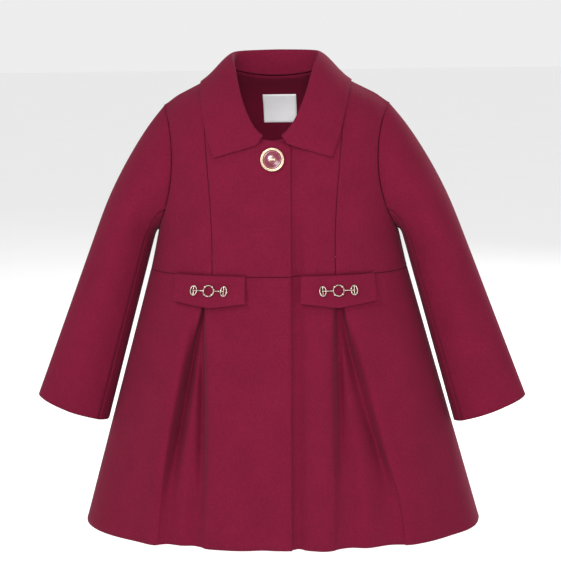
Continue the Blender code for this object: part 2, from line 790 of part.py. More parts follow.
def ring_vertices(radius_x, radius_z, wire, around, across):
    """A wire bent into an oval ring in the XZ plane."""
    vertices = []
    for step in range(around):
        turn = 2 * math.pi * step / around
        for part in range(across):
            roll = 2 * math.pi * part / across
            reach = wire * math.cos(roll)
            vertices.append(((radius_x + reach) * math.cos(turn), wire * math.sin(roll),
                             (radius_z + reach) * math.sin(turn)))
    faces = []
    for step in range(around):
        for part in range(across):
            following, beside = (step + 1) % around, (part + 1) % across
            faces.append([step * across + part, step * across + beside,
                          following * across + beside, following * across + part])
    return vertices, faces


def bar_vertices(start_x, end_x, wire, across):
    """A short round bar along X, with pointed ends."""
    vertices = [(start_x, 0.0, 0.0), (end_x, 0.0, 0.0)]
    inset = (end_x - start_x) * 0.15
    for x in (start_x + inset, end_x - inset):
        for part in range(across):
            roll = 2 * math.pi * part / across
            vertices.append((x, wire * math.sin(roll), wire * math.cos(roll)))
    faces = []
    for part in range(across):
        beside = (part + 1) % across
        near, far = 2 + part, 2 + across + part
        near_next, far_next = 2 + beside, 2 + across + beside
        faces += [[0, near_next, near], [near, near_next, far_next, far], [far, far_next, 1]]
    return vertices, faces


def surface_matrix(point, normal):
    """Frame whose X lies along the cloth, whose -Y points out of it and whose Z is up it."""
    out = Vector(normal).normalized()
    across = Vector((0.0, 0.0, 1.0)).cross(-out)
    across = -across if across.x < 0 else across
    across.normalize()
    up = out.cross(across)
    up = -up if up.z < 0 else up
    up.normalize()
    frame = Matrix((across, -out, up)).transposed().to_4x4()
    frame.translation = Vector(point) * MM
    return frame


def join_solids(target, others):
    """Weld overlapping solids into one body."""
    for other in others:
        union = target.modifiers.new("weld", "BOOLEAN")
        union.operation = "UNION"
        union.solver = "EXACT"
        union.object = other
        other.hide_render = True
        other.display_type = "WIRE"


def build_trim(side, hand, metal):
    """A linked metal trim: a round ring between two oval ones, on short bars."""
    fall = (FLAP_TOP_Z - TRIM_Z) / flap_drop(0.0)
    here = flap_point(side, 0.0, fall, FLAP_THICKNESS)
    beside = flap_point(side, 0.15, fall, FLAP_THICKNESS)
    below = flap_point(side, 0.0, fall + 0.15, FLAP_THICKNESS)
    normal = np.cross(beside - here, below - here)
    normal = normal * (-1 if normal[1] > 0 else 1) / np.linalg.norm(normal)
    seat = here + normal * (TRIM_WIRE + 0.8)
    frame = surface_matrix(seat, normal)
    ring = mesh_object("trim_" + hand, *ring_vertices(
        TRIM_RING_RADIUS, TRIM_RING_RADIUS, TRIM_WIRE, 20, 6), metal)
    parts = []
    for end in (-1, 1):
        oval = mesh_object("trim_oval", *ring_vertices(
            TRIM_END_HALF_WIDTH, TRIM_END_HALF_HEIGHT, TRIM_WIRE * 0.92, 16, 6), metal)
        oval.matrix_world = frame @ Matrix.Translation((end * TRIM_END_OFFSET * MM, 0, 0))
        bar = mesh_object("trim_bar", *bar_vertices(
            TRIM_RING_RADIUS - 1.2, TRIM_END_OFFSET + 1.0, TRIM_WIRE * 0.8, 6), metal)
        turn = Matrix.Rotation(0.0 if end > 0 else math.pi, 4, "Z")
        bar.matrix_world = frame @ turn
        parts += [oval, bar]
    ring.matrix_world = frame
    join_solids(ring, parts)


def turned_solid(name, profile, steps, material, frame):
    """A round solid turned about its own Y axis from (radius, height) pairs."""
    vertices, faces = [], []
    count = len(profile)
    for step in range(steps):
        turn = 2 * math.pi * step / steps
        for radius, height in profile:
            vertices.append((radius * math.cos(turn), -height, radius * math.sin(turn)))
    for step in range(steps):
        following = (step + 1) % steps
        for index in range(count - 1):
            faces.append([step * count + index, step * count + index + 1,
                          following * count + index + 1, following * count + index])
    faces.append([step * count for step in range(steps)][::-1])
    faces.append([step * count + count - 1 for step in range(steps)])
    built = mesh_object(name, vertices, faces, material)
    built.matrix_world = frame
    return built


def build_button(plastic, metal):
    """The button at the neck and the thin metal ring round it."""
    seat, normal = surface_point(-1, 0.0, BUTTON_Z, False, BUTTON_SEAT)
    frame = surface_matrix(seat, normal)
    rim = BUTTON_THICKNESS
    profile = ((2.0, 0.0), (BUTTON_RADIUS - 1.2, 0.0), (BUTTON_RADIUS, 1.0),
               (BUTTON_RADIUS, rim - 1.0), (BUTTON_RADIUS - 1.0, rim),
               (BUTTON_RADIUS - 3.0, rim - 1.0), (2.0, rim - 1.3))
    turned_solid("button", profile, 24, plastic, frame)
    ring = mesh_object("button_rim", *ring_vertices(
        BUTTON_RIM_RADIUS, BUTTON_RIM_RADIUS, BUTTON_RIM_WIRE, 24, 6), metal)
    ring.matrix_world = frame @ Matrix.Translation((0.0, -1.9 * MM, 0.0))


def build_label(paper):
    """A woven label inside the back of the neck."""
    columns, rows = 6, 4
    front, rear = [], []
    for row in range(rows + 1):
        z = LABEL_TOP_Z + (LABEL_BOTTOM_Z - LABEL_TOP_Z) * row / rows
        near, far = [], []
        for column in range(columns + 1):
            q = -LABEL_HALF_WIDTH + 2 * LABEL_HALF_WIDTH * column / columns
            gap = WALL + SEAM_GAP + LABEL_SPARE
            far.append(surface_point(1, q, z, True, -gap)[0])
            near.append(surface_point(1, q, z, True, -gap - LABEL_THICKNESS)[0])
        front.append(near)
        rear.append(far)
    shell_object("label", np.array(rear), np.array(front), paper)


def main():
    """Build every piece of the coat."""
    clear_scene()
    wool = cloth_material("wool", (0.205, 0.012, 0.042), 0.9, 0.0)
    metal = cloth_material("antique_silver", (0.62, 0.6, 0.52), 0.35, 1.0)
    plastic = cloth_material("button_burgundy", (0.2, 0.012, 0.04), 0.35, 0.0)
    paper = cloth_material("label_white", (0.85, 0.85, 0.86), 0.8, 0.0)
    build_panels(wool)
    build_collar(wool)
    for side, hand in ((-1, "R"), (1, "L")):
        build_flap(side, hand, wool)
        build_trim(side, hand, metal)
    build_button(plastic, metal)
    build_label(paper)


main()
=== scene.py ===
"""Dressed model of a child's wool coat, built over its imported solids."""
import logging
import math
from dataclasses import dataclass
from enum import Enum

import bmesh
import bpy
import numpy as np
from mathutils import Matrix, Vector


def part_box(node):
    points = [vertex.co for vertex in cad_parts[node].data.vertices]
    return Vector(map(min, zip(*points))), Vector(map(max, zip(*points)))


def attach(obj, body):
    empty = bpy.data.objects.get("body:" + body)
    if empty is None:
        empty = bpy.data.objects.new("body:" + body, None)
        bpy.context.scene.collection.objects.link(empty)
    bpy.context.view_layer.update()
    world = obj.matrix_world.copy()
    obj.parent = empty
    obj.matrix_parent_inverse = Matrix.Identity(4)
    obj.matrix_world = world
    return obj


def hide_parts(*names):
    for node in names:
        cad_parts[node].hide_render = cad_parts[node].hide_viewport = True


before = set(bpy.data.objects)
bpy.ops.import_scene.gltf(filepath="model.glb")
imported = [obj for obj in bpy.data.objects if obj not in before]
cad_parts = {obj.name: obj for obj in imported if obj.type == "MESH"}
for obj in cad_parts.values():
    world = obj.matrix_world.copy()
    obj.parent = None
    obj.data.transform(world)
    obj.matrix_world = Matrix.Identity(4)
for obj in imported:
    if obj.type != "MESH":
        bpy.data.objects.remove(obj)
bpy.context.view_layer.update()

LOG = logging.getLogger("wool_coat")
MM = 0.001
CARRIER = "root"


class Side(Enum):
    """The half of the coat that a fold lies on."""

    FRONT = -1
    BACK = 1


class Hold(Enum):
    """How a cut piece of cloth is held in the coat."""

    HUNG = "hung"
    FOLDED = "folded"
    LAID = "laid"


class Shader:
    """One material with its node tree."""

    def __init__(self, name: str, colour: tuple, roughness: float, metallic: float = 0.0) -> None:
        """Start a material.

        Args:
            name: Name of the material.
            colour: Base colour, linear.
            roughness: Roughness of the surface.
            metallic: One for metal, else zero.
        """
        self.material = bpy.data.materials.new(name)
        self.material.use_nodes = True
        self.tree = self.material.node_tree
        self.surface = self.tree.nodes["Principled BSDF"]
        self.surface.inputs["Base Color"].default_value = (*colour, 1.0)
        self.surface.inputs["Roughness"].default_value = roughness
        self.surface.inputs["Metallic"].default_value = metallic
        self.place = self.node("ShaderNodeTexCoord").outputs["Object"]

    def node(self, kind: str, **values: object) -> bpy.types.Node:
        """Add a node.

        Args:
            kind: Type name of the node.
            **values: Properties of the node to set.

        Returns:
            The new node.
        """
        made = self.tree.nodes.new(kind)
        for key, value in values.items():
            setattr(made, key, value)
        return made

    def link(self, source: bpy.types.NodeSocket, target: bpy.types.NodeSocket) -> None:
        """Join two sockets."""
        self.tree.links.new(source, target)

    def noise(self, scale: float, detail: float, roughness: float = 0.5,
              stretch: tuple = (1.0, 1.0, 1.0)) -> bpy.types.NodeSocket:
        """Add a noise pattern in object coordinates.

        Args:
            scale: Waves for each metre.
            detail: Octaves of finer noise.
            roughness: Strength of the finer octaves.
            stretch: Scale along each axis.

        Returns:
            The noise's value socket.
        """
        spread = self.node("ShaderNodeMapping")
        spread.inputs["Scale"].default_value = stretch
        self.link(self.place, spread.inputs["Vector"])
        pattern = self.node("ShaderNodeTexNoise")
        pattern.inputs["Scale"].default_value = scale
        pattern.inputs["Detail"].default_value = detail
        pattern.inputs["Roughness"].default_value = roughness
        self.link(spread.outputs["Vector"], pattern.inputs["Vector"])
        return pattern.outputs["Fac"]

    def ramp(self, source: bpy.types.NodeSocket, stops: list) -> bpy.types.NodeSocket:
        """Turn a value into a colour.

        Args:
            source: The value.
            stops: Pairs of position and linear colour.

        Returns:
            The ramp's colour socket.
        """
        band = self.node("ShaderNodeValToRGB")
        band.color_ramp.elements[0].position = stops[0][0]
        band.color_ramp.elements[0].color = (*stops[0][1], 1.0)
        band.color_ramp.elements[1].position = stops[-1][0]
        band.color_ramp.elements[1].color = (*stops[-1][1], 1.0)
        for position, colour in stops[1:-1]:
            band.color_ramp.elements.new(position).color = (*colour, 1.0)
        self.link(source, band.inputs["Fac"])
        return band.outputs["Color"]

    def blend(self, first: bpy.types.NodeSocket, second: bpy.types.NodeSocket,
              share: float, kind: str = "MULTIPLY") -> bpy.types.NodeSocket:
        """Mix two colours.

        Args:
            first: The lower colour.
            second: The upper colour.
            share: Strength of the upper colour.
            kind: Blend type.

        Returns:
            The mixed colour socket.
        """
        mix = self.node("ShaderNodeMix", data_type="RGBA", blend_type=kind)
        mix.inputs["Factor"].default_value = share
        self.link(first, mix.inputs["A"])
        self.link(second, mix.inputs["B"])
        return mix.outputs["Result"]

    def relief(self, source: bpy.types.NodeSocket, distance: float, strength: float,
               below: bpy.types.NodeSocket | None = None) -> bpy.types.NodeSocket:
        """Add a bump.

        Args:
            source: Height of the bump.
            distance: Height in metres.
            strength: Strength of the bump.
            below: Normal that the bump adds to.

        Returns:
            The bumped normal.
        """
        bump = self.node("ShaderNodeBump")
        bump.inputs["Distance"].default_value = distance
        bump.inputs["Strength"].default_value = strength
        self.link(source, bump.inputs["Height"])
        if below is not None:
            self.link(below, bump.inputs["Normal"])
        return bump.outputs["Normal"]


@dataclass(frozen=True)
class WoolFinish:
    """Fulled wool cloth with a short nap."""

    name: str
    # deep, face and tip are the nap colours: random tone, with deep painted darker as painted shade
    # in the low pile and tip painted lighter as painted light on the raised nap tips.
    deep: tuple = (0.107, 0.0042, 0.0182)
    face: tuple = (0.123, 0.0054, 0.0222)
    tip: tuple = (0.141, 0.0073, 0.0270)
    sheen: float = 0.06
    sheen_tint: tuple = (0.80, 0.26, 0.36, 1.0)
    nap: float = 1150.0
    fleck: float = 420.0
    mottle: float = 34.0

    def make(self) -> bpy.types.Material:
        """Build the material.

        Returns:
            Wool with mottled colour, flecks and a raised nap; the nap colour carries painted shade
            in the low pile and painted light on the raised tips.
        """
        shader = Shader(self.name, self.face, 0.93)
        shader.surface.inputs["Specular IOR Level"].default_value = 0.08
        shader.surface.inputs["Sheen Weight"].default_value = self.sheen
        shader.surface.inputs["Sheen Roughness"].default_value = 0.45
        shader.surface.inputs["Sheen Tint"].default_value = self.sheen_tint
        hair = shader.noise(self.nap, 3.0, 0.62, (1.0, 1.0, 0.55))
        fleck = shader.noise(self.fleck, 2.0, 0.55, (1.0, 1.0, 0.8))
        mottle = shader.noise(self.mottle, 3.0)
        # The nap colour follows the same noise as the nap bump below. Low pile is painted darker as
        # painted shade and raised tips lighter as painted light, on top of random tone.
        colour = shader.ramp(hair, [(0.30, self.deep), (0.52, self.face), (0.74, self.tip)])
        soft = shader.ramp(fleck, [(0.32, (0.90, 0.90, 0.90)), (0.68, (1.06, 1.06, 1.06))])
        wide = shader.ramp(mottle, [(0.30, (0.93, 0.93, 0.93)), (0.70, (1.05, 1.05, 1.05))])
        colour = shader.blend(shader.blend(colour, soft, 0.75), wide, 0.8)
        shader.link(colour, shader.surface.inputs["Base Color"])
        normal = shader.relief(fleck, 0.00035, 0.35)
        normal = shader.relief(hair, 0.00022, 0.5, normal)
        shader.link(normal, shader.surface.inputs["Normal"])
        return shader.material


@dataclass(frozen=True)
class MetalFinish:
    """Plated metal, dull where polish doesn't reach."""

    name: str
    bright: tuple
    dull: tuple
    roughness: float

    def make(self) -> bpy.types.Material:
        """Build the material.

        Returns:
            Metal with patches of tarnish.
        """
        shader = Shader(self.name, self.bright, self.roughness, 1.0)
        patches = shader.noise(900.0, 3.0)
        colour = shader.ramp(patches, [(0.36, self.dull), (0.60, self.bright)])
        shader.link(colour, shader.surface.inputs["Base Color"])
        grain = shader.noise(3800.0, 2.0)
        shader.link(shader.relief(grain, 0.00008, 0.4), shader.surface.inputs["Normal"])
        return shader.material


@dataclass(frozen=True)
class GlossFinish:
    """Glossy cast plastic with faint swirls."""

    name: str
    deep: tuple = (0.105, 0.005, 0.018)
    face: tuple = (0.165, 0.009, 0.031)

    def make(self) -> bpy.types.Material:
        """Build the material.

        Returns:
            Gloss plastic.
        """
        shader = Shader(self.name, self.face, 0.24)
        shader.surface.inputs["Coat Weight"].default_value = 0.4
        shader.surface.inputs["Coat Roughness"].default_value = 0.12
        swirl = shader.noise(260.0, 3.0, 0.5, (1.0, 1.0, 2.5))
        colour = shader.ramp(swirl, [(0.35, self.deep), (0.65, self.face)])
        shader.link(colour, shader.surface.inputs["Base Color"])
        return shader.material


@dataclass(frozen=True)
class SatinFinish:
    """White woven ribbon or sewing thread, with ribs along one axis."""

    name: str
    face: tuple
    shade: tuple
    ribs: float
    roughness: float = 0.6

    def make(self) -> bpy.types.Material:
        """Build the material.

        Returns:
            Ribbon with fine ribs.
        """
        shader = Shader(self.name, self.face, self.roughness)
        shader.surface.inputs["Sheen Weight"].default_value = 0.1
        wave = shader.node("ShaderNodeTexWave", wave_type="BANDS", bands_direction="Z")
        wave.inputs["Scale"].default_value = self.ribs
        wave.inputs["Distortion"].default_value = 0.6
        shader.link(shader.place, wave.inputs["Vector"])
        colour = shader.ramp(wave.outputs["Fac"], [(0.1, self.shade), (0.8, self.face)])
        shader.link(colour, shader.surface.inputs["Base Color"])
        shader.link(shader.relief(wave.outputs["Fac"], 0.0001, 0.3),
                    shader.surface.inputs["Normal"])
        return shader.material


@dataclass(frozen=True)
class Crease:
    """A soft trough or ridge in the cloth, on one side of the coat. Lengths in millimetres."""

    side: Side
    start: tuple
    end: tuple
    width: float
    depth: float
    runs_out: bool = False

    def lift(self, x: np.ndarray, z: np.ndarray) -> np.ndarray:
        """Height of the fold.

        Args:
            x: Places across the coat.
            z: Places up the coat.

        Returns:
            How far each place stands out from the cloth.
        """
        start = np.array(self.start, float)
        line = np.array(self.end, float) - start
        length = float(np.hypot(*line))
        along = ((x - start[0]) * line[0] + (z - start[1]) * line[1]) / length ** 2
        off = ((x - start[0]) * line[1] - (z - start[1]) * line[0]) / length
        rise = smooth_step(-0.15, 0.35, along)
        fall = 1.0 if self.runs_out else 1.0 - smooth_step(0.65, 1.15, along)
        return self.depth * np.exp(-(off / self.width) ** 2 * 1.6) * rise * fall


def smooth_step(low: float, high: float, value: np.ndarray) -> np.ndarray:
    """Ease from zero to one.

    Args:
        low: Value where the result is zero.
        high: Value where the result is one.
        value: The values to ease.

    Returns:
        The eased values.
    """
    ratio = np.clip((value - low) / (high - low), 0.0, 1.0)
    return ratio * ratio * (3.0 - 2.0 * ratio)


BODY_CREASES = (
    Crease(Side.FRONT, (100, -112), (74, -168), 13, -2.1),
    Crease(Side.FRONT, (112, -128), (96, -185), 12, 1.5),
    Crease(Side.FRONT, (-120, -160), (-92, -196), 13, -2.2),
    Crease(Side.FRONT, (-98, -110), (-82, -150), 12, 1.3),
    Crease(Side.FRONT, (128, -196), (100, -210), 9, -2.0),
    Crease(Side.FRONT, (-34, -140), (-30, -222), 20, 1.0),
    Crease(Side.FRONT, (50, -262), (56, -540), 20, 3.1, True),
    Crease(Side.FRONT, (28, -150), (28, -540), 7, -5.5, True),
    Crease(Side.FRONT, (-88, -283), (-123, -478), 8, -13.0),
    Crease(Side.FRONT, (-82, -300), (-84, -500), 6, -8.0),
    Crease(Side.FRONT, (79, -283), (127, -470), 8, -13.0),
    Crease(Side.FRONT, (71, -300), (75, -470), 6, -7.0),
    Crease(Side.FRONT, (-150, -285), (-203, -500), 26, -5.0),
    Crease(Side.FRONT, (-112, -330), (-138, -540), 22, 3.6, True),
    Crease(Side.FRONT, (172, -352), (205, -540), 24, -4.8, True),
    Crease(Side.FRONT, (150, -300), (168, -480), 20, 2.8),
    Crease(Side.FRONT, (-40, -350), (-46, -540), 30, 3.1, True),
    Crease(Side.FRONT, (-16, -392), (-14, -540), 15, -2.1, True),
    Crease(Side.FRONT, (96, -400), (104, -540), 17, 2.5, True),
    Crease(Side.FRONT, (-178, -262), (-196, -352), 15, 2.0),
    Crease(Side.BACK, (-146, -262), (-190, -540), 24, -7.6, True),
    Crease(Side.BACK, (-104, -296), (-130, -540), 24, 6.5, True),
    Crease(Side.BACK, (-52, -250), (-66, -540), 20, -6.1, True),
    Crease(Side.BACK, (-8, -330), (-6, -540), 26, 5.7, True),
    Crease(Side.BACK, (38, -262), (52, -540), 19, -5.7, True),
    Crease(Side.BACK, (88, -286), (110, -540), 25, 6.1, True),
    Crease(Side.BACK, (142, -250), (184, -540), 22, -8.0, True),
    Crease(Side.BACK, (-112, -100), (-84, -172), 16, -3.0),
    Crease(Side.BACK, (110, -112), (90, -190), 15, -2.8),
    Crease(Side.BACK, (-60, -196), (40, -212), 14, -2.1),
    Crease(Side.BACK, (-70, -66), (62, -60), 17, -1.7),
)
SLEEVE_CREASES = (
    Crease(Side.FRONT, (163, -104), (226, -330), 17, 1.9),
    Crease(Side.FRONT, (150, -150), (170, -200), 11, -1.6),
    Crease(Side.FRONT, (176, -228), (212, -206), 10, -1.7),
    Crease(Side.FRONT, (182, -262), (232, -248), 12, -2.3),
    Crease(Side.FRONT, (192, -292), (224, -262), 10, 1.3),
    Crease(Side.FRONT, (204, -322), (250, -300), 12, -1.7),
    Crease(Side.FRONT, (246, -330), (268, -396), 14, -1.3, True),
    Crease(Side.BACK, (160, -110), (232, -352), 18, 1.8),
    Crease(Side.BACK, (150, -160), (176, -214), 12, -1.9),
    Crease(Side.BACK, (184, -250), (228, -266), 12, -2.4),
    Crease(Side.BACK, (196, -286), (238, -308), 11, -1.8),
    Crease(Side.BACK, (222, -340), (238, -410), 13, -1.4, True),
)
RIGHT_SLEEVE_CREASES = (
    Crease(Side.FRONT, (-160, -96), (-232, -350), 18, 2.0),
    Crease(Side.FRONT, (-147, -140), (-160, -196), 12, -1.8),
    Crease(Side.FRONT, (-178, -244), (-222, -222), 12, -1.9),
    Crease(Side.FRONT, (-190, -284), (-226, -268), 11, -1.6),
    Crease(Side.FRONT, (-214, -330), (-256, -322), 13, -1.3),
    Crease(Side.FRONT, (-236, -352), (-246, -412), 12, 1.1, True),
    Crease(Side.BACK, (-158, -104), (-236, -360), 17, 1.7),
    Crease(Side.BACK, (-152, -170), (-178, -222), 12, -2.0),
    Crease(Side.BACK, (-186, -262), (-234, -252), 12, -2.3),
    Crease(Side.BACK, (-200, -300), (-240, -322), 11, -1.7),
)


@dataclass(frozen=True)
class CutPiece:
    """One cut piece of cloth and the flat size that it was cut to, in metres."""

    node: str
    flat: tuple
    area: float
    hold: Hold
    rests_on: tuple = ()
    creases: tuple = ()
    centre_y: float = 0.0


class ClothMaker:
    """Turns a piece's solid into soft cloth with rolled edges and folds."""

    edge_roll = 0.5
    edge_shoulder = 0.13
    wall_range = (0.0006, 0.0046)
    along_wall = 0.6
    quad_bend = math.radians(60)
    quad_skew = math.radians(75)
    corner_turn = math.radians(28)
    crisp_angle = 42.0
    facing_start = 4.0
    facing_depth = 22.0
    shoulder_ease = 3.0
    shoulder_reach = (112.0, 131.0)
    shoulder_height = (-64.0, -46.0)

    def __init__(self, levels: int = 2) -> None:
        """Keep the number of subdivisions."""
        self.levels = levels

    def edges_through_wall(self, cage: bmesh.types.BMesh) -> set:
        """Find the edges that join the outer face of the cloth to the inner one.

        Args:
            cage: The merged solid.

        Returns:
            The edges that run through the wall.
        """
        found = set()
        for edge in cage.edges:
            if not self.wall_range[0] < edge.calc_length() < self.wall_range[1]:
                continue
            run = (edge.verts[1].co - edge.verts[0].co).normalized()
            hits = 0
            for vertex in edge.verts:
                total = Vector()
                for face in vertex.link_faces:
                    if edge not in face.edges[:]:
                        total += face.normal * face.calc_area()
                hits += total.length > 0 and abs(
                    total.normalized().dot(run)) > self.along_wall
            if hits == 2:
                found.add(edge)
        return found

    def cage(self, node: bpy.types.Object, name: str) -> bpy.types.Object:
        """Copy a solid with its edges marked to stay crisp.

        Args:
            node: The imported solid.
            name: Name for the copy.

        Returns:
            The copy, as quads where its triangles pair up.
        """
        cage = bmesh.new()
        cage.from_mesh(node.data)
        bmesh.ops.remove_doubles(cage, verts=cage.verts, dist=1e-6)
        through = self.edges_through_wall(cage)
        for face in cage.faces:
            face.material_index = 1 if any(edge in through for edge in face.edges) else 0
        bmesh.ops.join_triangles(cage, faces=cage.faces, cmp_materials=True,
                                 angle_face_threshold=self.quad_bend,
                                 angle_shape_threshold=self.quad_skew)
        layer = cage.edges.layers.float.new("crease_edge")
        for edge in cage.edges:
            if len(edge.link_faces) != 2:
                continue
            first, second = edge.link_faces
            rims = first.material_index + second.material_index
            if rims == 1:
                edge[layer] = 1.0
            if rims == 2 and first.normal.angle(second.normal, 0.0) > self.corner_turn:
                edge[layer] = 1.0
        mesh = bpy.data.meshes.new(name)
        cage.to_mesh(mesh)
        cage.free()
        made = bpy.data.objects.new(name, mesh)
        bpy.context.scene.collection.objects.link(made)
        return made

    def roll_edges(self, points: np.ndarray, mesh: bpy.types.Mesh) -> None:
        """Round the cut edges of a piece.

        Args:
            points: The piece's points in millimetres, changed in place.
            mesh: The piece's mesh.
        """
        normals = np.zeros_like(points)
        on_sheet = np.zeros(len(points), bool)
        rims = []
        for face in mesh.polygons:
            corners = list(face.vertices)
            if face.material_index == 1:
                normals[corners] += np.array(face.normal)
                rims.append(corners)
            else:
                on_sheet[corners] = True
        size = np.linalg.norm(normals, axis=1)
        on_rim = size > 1e-6
        normals[on_rim] /= size[on_rim, None]
        edge = on_rim & on_sheet
        beside = np.zeros(len(points), bool)
        for corners in rims:
            if edge[corners].any():
                beside[corners] = True
        beside &= on_rim & ~edge
        points[edge] -= normals[edge] * self.edge_roll
        points[beside] -= normals[beside] * self.edge_shoulder

    def fold(self, points: np.ndarray, piece: CutPiece) -> None:
        """Press a piece's creases into it.

        Args:
            points: The piece's points in millimetres, changed in place.
            piece: The piece, with its creases.
        """
        x, y, z = points.T.copy()
        for crease in piece.creases:
            side = crease.side.value
            facing = smooth_step(self.facing_start, self.facing_depth,
                                 side * (y - piece.centre_y))
            points[:, 1] += side * facing * crease.lift(x, z)
        if piece.node.startswith("bodice"):
            tip = smooth_step(*self.shoulder_reach, abs(x)) * smooth_step(
                *self.shoulder_height, z)
            points[:, 2] -= self.shoulder_ease * tip

    def make(self, piece: CutPiece, material: bpy.types.Material) -> bpy.types.Object:
        """Make the cloth of one cut piece.

        Args:
            piece: The piece.
            material: Its finish.

        Returns:
            The finished object.
        """
        name = piece.node + "_cloth"
        cage = self.cage(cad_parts[piece.node], name + "_cage")
        smooth = cage.modifiers.new("soften", "SUBSURF")
        smooth.levels = self.levels
        smooth.render_levels = self.levels
        smooth.use_limit_surface = False
        mesh = finished_mesh(cage, name)
        bpy.data.objects.remove(cage, do_unlink=True)
        points = mesh_points(mesh)
        self.roll_edges(points, mesh)
        self.fold(points, piece)
        mesh.vertices.foreach_set("co", (points * MM).ravel())
        return dress(mesh, name, material, self.crisp_angle)


def finished_mesh(thing: bpy.types.Object, name: str) -> bpy.types.Mesh:
    """Bake an object's modifiers into a plain mesh.

    Args:
        thing: The object.
        name: Name for the mesh.

    Returns:
        The plain mesh.
    """
    graph = bpy.context.evaluated_depsgraph_get()
    graph.update()
    mesh = bpy.data.meshes.new_from_object(thing.evaluated_get(graph))
    mesh.name = name
    return mesh


def mesh_points(mesh: bpy.types.Mesh) -> np.ndarray:
    """Read a mesh's points.

    Args:
        mesh: The mesh, in metres.

    Returns:
        One row for each point, in millimetres.
    """
    points = np.empty(len(mesh.vertices) * 3)
    mesh.vertices.foreach_get("co", points)
    return points.reshape(-1, 3) / MM


def dress(mesh: bpy.types.Mesh, name: str, material: bpy.types.Material,
          crisp: float) -> bpy.types.Object:
    """Give a mesh its finish and smooth shading.

    Args:
        mesh: The mesh.
        name: Name for the object.
        material: Its only material.
        crisp: Angle in degrees above which an edge stays crisp.

    Returns:
        The new object.
    """
    mesh.materials.clear()
    mesh.materials.append(material)
    mesh.polygons.foreach_set("material_index", [0] * len(mesh.polygons))
    mesh.shade_smooth()
    mesh.set_sharp_from_angle(angle=math.radians(crisp))
    mesh.update()
    made = bpy.data.objects.new(name, mesh)
    bpy.context.scene.collection.objects.link(made)
    return made


class Seat:
    """Where a flat fitting lies: its middle, and its own across, up and out directions."""

    def __init__(self, node: str) -> None:
        """Read the seat of a packed fitting.

        Args:
            node: Name of the fitting's node.
        """
        points = np.unique(mesh_points(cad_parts[node].data).round(3), axis=0)
        low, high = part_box(node)
        self.middle = np.array([(low[i] + high[i]) / 2 / MM for i in range(3)])
        _, _, axes = np.linalg.svd(points - points.mean(axis=0), full_matrices=False)
        out = axes[2] if axes[2][1] < 0 else -axes[2]
        across = np.cross((0.0, 0.0, -1.0), out)
        across = across / np.linalg.norm(across)
        across = across if across[0] > 0 else -across
        up = np.cross(out, across)
        up = up if up[2] > 0 else -up
        along = axes[0] - out * axes[0].dot(out)
        if abs(axes[0][0]) > 0.9 and node.startswith("trim"):
            across = along / np.linalg.norm(along) * np.sign(along[0])
            up = np.cross(out, across)
            up = up if up[2] > 0 else -up
        self.across, self.up, self.out = across, up, out

    def at(self, across: float, up: float, out: float) -> np.ndarray:
        """Turn a place on the seat into one on the coat.

        Args:
            across: Millimetres along the seat.
            up: Millimetres up it.
            out: Millimetres out of it.

        Returns:
            The place in millimetres.
        """
        return self.middle + self.across * across + self.up * up + self.out * out


